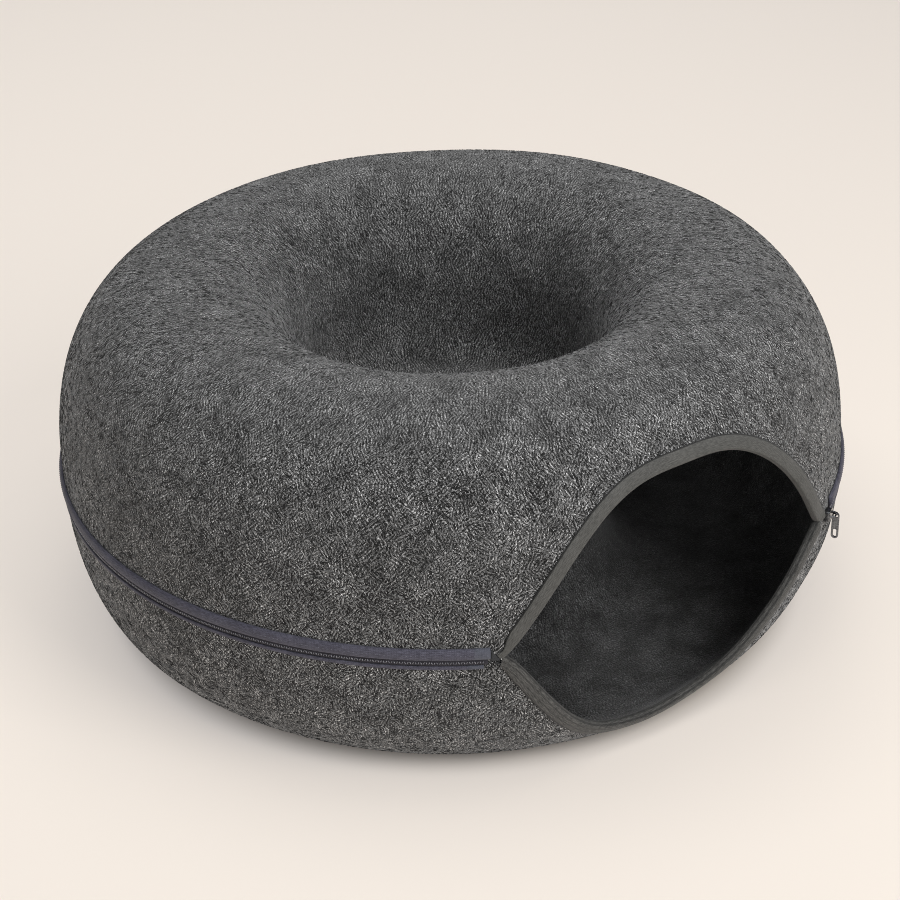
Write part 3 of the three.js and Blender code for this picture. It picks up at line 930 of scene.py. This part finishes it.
def zip_teeth(name):
    """Bars across the seam that lean to the left and to the right by turns."""
    bm = bmesh.new()
    size = Matrix.Diagonal((TOOTH[0], TOOTH[2], TOOTH[1], 1))
    for i, x in enumerate(zip_places(TOOTH_PITCH)):
        lean = TOOTH_LEAN if i % 2 else -TOOTH_LEAN
        turn = Matrix.Rotation(x / RING_R, 4, "Z") @ Matrix.Rotation(lean, 4, "Y")
        place = Matrix.Translation(place_on_felt(x, 0, TOOTH_LIFT))
        bmesh.ops.create_cube(bm, size=1, matrix=place @ turn @ size)
    piece = finished(name, bm, COIL_LOOK)
    round_edges(piece, TOOTH_ROUND, 1)
    return piece


def stitches(name, ends, thick, material):
    """Thread stitches, each between two places given as (x, s, lift)."""
    bm = bmesh.new()
    for first, second in ends:
        a = place_on_felt(*first)
        b = place_on_felt(*second)
        turn = (b - a).to_track_quat("X", "Z").to_matrix().to_4x4()
        size = Matrix.Diagonal(((b - a).length / 2, thick / 2, thick / 2, 1))
        place = Matrix.Translation((a + b) / 2)
        bmesh.ops.create_icosphere(bm, subdivisions=1, radius=1, matrix=place @ turn @ size)
    return finished(name, bm, material)


def cord_edge_stitches(name):
    """Running stitches along the upper tape's cord edge."""
    s = CORD_STITCH["s"]
    lift = CORD_STITCH["lift"]
    ends = [((x, s, lift), (x + CORD_STITCH["length"], s, lift)) for x in zip_places(CORD_STITCH["pitch"])]
    return stitches(name, ends, CORD_STITCH["thick"], PALE_LOOK)


def end_patch(name):
    """Small patch of cloth over the zip's left end."""
    bm = bmesh.new()
    face = bm.faces.new([bm.verts.new(place_on_felt(x, s, ZIP_LIFT)) for x, s in PATCH_CORNERS])
    face.normal_update()
    outward = place_on_felt(*PATCH_CORNERS[0], PATCH_T) - place_on_felt(*PATCH_CORNERS[0], 0)
    thicken(bm, face, outward)
    bmesh.ops.recalc_face_normals(bm, faces=bm.faces)
    piece = finished(name, bm, PATCH_LOOK, smooth=False)
    round_edges(piece, METAL_ROUND, 2)
    return piece


SLIDER_PLACE = (Matrix.Translation(AXIS) @ Matrix.Rotation(SLIDER_X / RING_R, 4, "Z")
                @ Matrix.Translation((0, -RING_R, SEAM_Z)))


def zip_slider(name):
    """Slider body with the loop that holds the pull. Here x runs along the zip and -y outwards."""
    bm = bmesh.new()
    end = SLIDER_L / 2
    side = SLIDER_H / 2
    nose = SLIDER_NOSE_H / 2
    outline = (
        (-end, SLIDER_CORNER - side), (SLIDER_CORNER - end, -side), (SLIDER_NOSE_FROM, -side), (end, -nose),
        (end, nose), (SLIDER_NOSE_FROM, side), (SLIDER_CORNER - end, side), (-end, side - SLIDER_CORNER),
    )
    thicken(bm, bm.faces.new([bm.verts.new((x, -SLIDER_LIFT, z)) for x, z in outline]), (0, -SLIDER_T, 0))
    foot = -SLIDER_LIFT - SLIDER_T + LOOP_SINK
    loop = (
        (-LOOP_FOOT, foot), (-LOOP_TOP, -LOOP_OUT), (LOOP_TOP, -LOOP_OUT), (LOOP_FOOT, foot),
        (LOOP_FOOT - LOOP_T, foot), (LOOP_TOP - LOOP_T, LOOP_T - LOOP_OUT),
        (LOOP_T - LOOP_TOP, LOOP_T - LOOP_OUT), (LOOP_T - LOOP_FOOT, foot),
    )
    thicken(bm, bm.faces.new([bm.verts.new((x, y, -LOOP_W / 2)) for x, y in loop]), (0, 0, LOOP_W))
    bmesh.ops.recalc_face_normals(bm, faces=bm.faces)
    bm.transform(SLIDER_PLACE)
    piece = finished(name, bm, METAL_LOOK, smooth=False)
    round_edges(piece, METAL_ROUND, 3)
    return piece


def round_end(z, radius, start, sweep):
    turn = np.linspace(start, start + sweep, ROUND_STEPS + 1)
    return list(zip(radius * np.cos(turn), z + radius * np.sin(turn)))


def zip_pull(name):
    """Pull hanging on the loop by its eye, edge on to the zip, with a slot in its lower end."""
    bm = bmesh.new()
    half = PULL_W / 2
    low = PULL_W - PULL_L
    outer = round_end(0, half, 0, math.pi) + round_end(low, half, math.pi, math.pi)
    eye = round_end(0, PULL_EYE_R, 0, 2 * math.pi)[:-1]
    slot = (round_end(low, PULL_SLOT_R, 0, -math.pi)
            + round_end(low + PULL_SLOT_L, PULL_SLOT_R, math.pi, -math.pi))
    rim = []
    for loop in (outer, eye, slot):
        corners = [bm.verts.new((-PULL_T / 2, -a, b)) for a, b in loop]
        rim += [bm.edges.new(pair) for pair in zip(corners, corners[1:] + corners[:1])]
    filled = bmesh.ops.triangle_fill(bm, edges=rim, use_beauty=True)["geom"]
    plate = [f for f in filled if isinstance(f, bmesh.types.BMFace)]
    grown = bmesh.ops.extrude_face_region(bm, geom=plate)["geom"]
    bmesh.ops.translate(bm, verts=corners_of(grown), vec=(PULL_T, 0, 0))
    bmesh.ops.recalc_face_normals(bm, faces=bm.faces)
    hang = PULL_EYE_R - LOOP_W / 2 - PULL_CLEARANCE
    bm.transform(SLIDER_PLACE @ Matrix.Translation((0, LOOP_T / 2 - LOOP_OUT, -hang)))
    piece = finished(name, bm, METAL_LOOK, smooth=False)
    round_edges(piece, PULL_ROUND, 2)
    return piece


upper_felt = felt_shell("upper_felt", UPPER_ARCH, UPPER_LENGTH)
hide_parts("upper_shell")
lower_felt = felt_shell("lower_felt", LOWER_ARCH, LOWER_LENGTH)
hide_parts("lower_shell")
upper_fibres = [felt_fibres(f"upper_fibres_{i}", UPPER_ARCH, UPPER_FIBRES_FROM, UPPER_LENGTH, seed)
                for i, seed in enumerate(UPPER_FIBRE_SEEDS, 1)]
lower_fibres = felt_fibres("lower_fibres", LOWER_ARCH, LOWER_FIBRES_FROM, LOWER_FIBRES_TO, LOWER_FIBRE_SEED)

upper_route = arch_route(UPPER_ARCH, UPPER_BIND_FROM - ENTRANCE_HALF, TONGUE_FROM)
upper_route = with_tongue(tapered(upper_route, UPPER_END_WIDTH))
upper_tape = binding_tape("upper_arch_binding", UPPER_ARCH, upper_route, BINDING_LOOK)
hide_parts("upper_binding")
lower_route = arch_route(LOWER_ARCH, LOWER_BIND_FROM - ENTRANCE_HALF, ENTRANCE_HALF - LOWER_BIND_FROM)
lower_route = raised_ends(tapered(lower_route, LOWER_END_WIDTH))
lower_tape = binding_tape("lower_arch_binding", LOWER_ARCH, lower_route, LOWER_BINDING_LOOK)
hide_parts("lower_binding")

upper_zip = zip_strip("upper_zip_cloth", UPPER_TAPE, ZIP_TAPE_LOOK)
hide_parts("upper_zip_tape")
lower_zip = zip_strip("lower_zip_cloth", LOWER_TAPE, ZIP_TAPE_LOOK)
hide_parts("lower_zip_tape")
coil_bed = zip_strip("zip_coil_bed", COIL_BED, BED_LOOK)
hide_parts("zip_coil")
teeth = zip_teeth("zip_teeth")
cord_stitches = cord_edge_stitches("cord_stitches")
bar_tack = stitches("bar_tack", BAR_TACK, BAR_TACK_THICK, THREAD_LOOK)
knot = stitches("thread_knot", [KNOT], KNOT_THICK, KNOT_LOOK)
patch = end_patch("zip_patch")
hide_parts("zip_end_patch")
slider = zip_slider("slider_body")
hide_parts("zip_slider")
pull = zip_pull("slider_pull")
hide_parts("zip_pull")


def photo_camera():
    lens = bpy.data.cameras.new("camera")
    lens.sensor_width = SENSOR
    lens.lens = FOCAL_PIXELS * SENSOR / PICTURE
    lens.shift_x = CAMERA_SHIFT_PIXELS / PICTURE
    camera = bpy.data.objects.new("camera", lens)
    bpy.context.scene.collection.objects.link(camera)
    level = math.cos(CAMERA_ELEVATION)
    back = Vector((math.sin(CAMERA_AZIMUTH) * level, -math.cos(CAMERA_AZIMUTH) * level,
                   math.sin(CAMERA_ELEVATION)))
    camera.location = AXIS + UP * CAMERA_TARGET_Z + back * CAMERA_DISTANCE
    camera.rotation_euler = (back.to_track_quat("Z", "Y") @ Quaternion(UP, CAMERA_ROLL)).to_euler()
    bpy.context.scene.camera = camera


def pale_floor():
    """A wide floor. Its glow fades towards the foot of the bed, which paints a dark contact shadow there."""
    material, tree, shader = new_material("pale_floor", 0.9)
    place = add_node(tree, "ShaderNodeTexCoord").outputs["Object"]
    grain = noise(tree, place, FLOOR_GRAIN_SCALE, 2.0)
    set_relief(tree, shader, grain, FLOOR_GRAIN_STRENGTH, FLOOR_GRAIN_DEPTH)
    shader.inputs["Base Color"].default_value = FLOOR_TINT
    shader.inputs["Emission Color"].default_value = FLOOR_GLOW
    # Painted contact shadow: the floor's glow fades out near the bed's foot
    glow = add_node(tree, "ShaderNodeMapRange", {
        "Value": vector_math(tree, "DISTANCE", place, AXIS),
        "From Min": FLOOR_GLOW_PAINTED_SHADOW_FROM,
        "From Max": FLOOR_GLOW_PAINTED_SHADOW_TO,
        "To Min": 0.0,
        "To Max": FLOOR_GLOW_STRENGTH,
    }, interpolation_type="SMOOTHSTEP")
    tree.links.new(glow.outputs[0], shader.inputs["Emission Strength"])
    bm = bmesh.new()
    bmesh.ops.create_grid(bm, x_segments=1, y_segments=1, size=FLOOR_HALF)
    mesh = bpy.data.meshes.new("floor")
    bm.to_mesh(mesh)
    bm.free()
    mesh.materials.append(material)
    floor = bpy.data.objects.new("floor", mesh)
    bpy.context.scene.collection.objects.link(floor)


def soft_room():
    """Faint light from all sides."""
    world = bpy.data.worlds.new("soft_room")
    world.use_nodes = True
    background = world.node_tree.nodes["Background"]
    background.inputs["Strength"].default_value = ROOM_LIGHT
    background.inputs["Color"].default_value = (1, 1, 1, 1)
    bpy.context.scene.world = world


def lamps():
    """Area lamps placed about the bed as the camera sees it, each turned to the bed's middle."""
    right = Vector((math.cos(CAMERA_AZIMUTH), math.sin(CAMERA_AZIMUTH), 0))
    near = Vector((math.sin(CAMERA_AZIMUTH), -math.cos(CAMERA_AZIMUTH), 0))
    for name, to_right, to_camera, up, size, watts in LAMPS:
        lamp = bpy.data.lights.new(name, "AREA")
        lamp.size = size
        lamp.energy = watts
        light = bpy.data.objects.new(name, lamp)
        light.location = right * to_right + near * to_camera + UP * up
        light.rotation_euler = (light.location - UP * LAMP_AIM_Z).to_track_quat("Z", "Y").to_euler()
        bpy.context.scene.collection.objects.link(light)


def crisp_grain():
    """Plain tones and a narrow filter, so that the felt's grain stays sharp."""
    bpy.context.scene.view_settings.view_transform = "Standard"
    bpy.context.scene.cycles.filter_width = PIXEL_FILTER
    bpy.context.scene.cycles.denoising_prefilter = "NONE"


photo_camera()
pale_floor()
soft_room()
lamps()
crisp_grain()
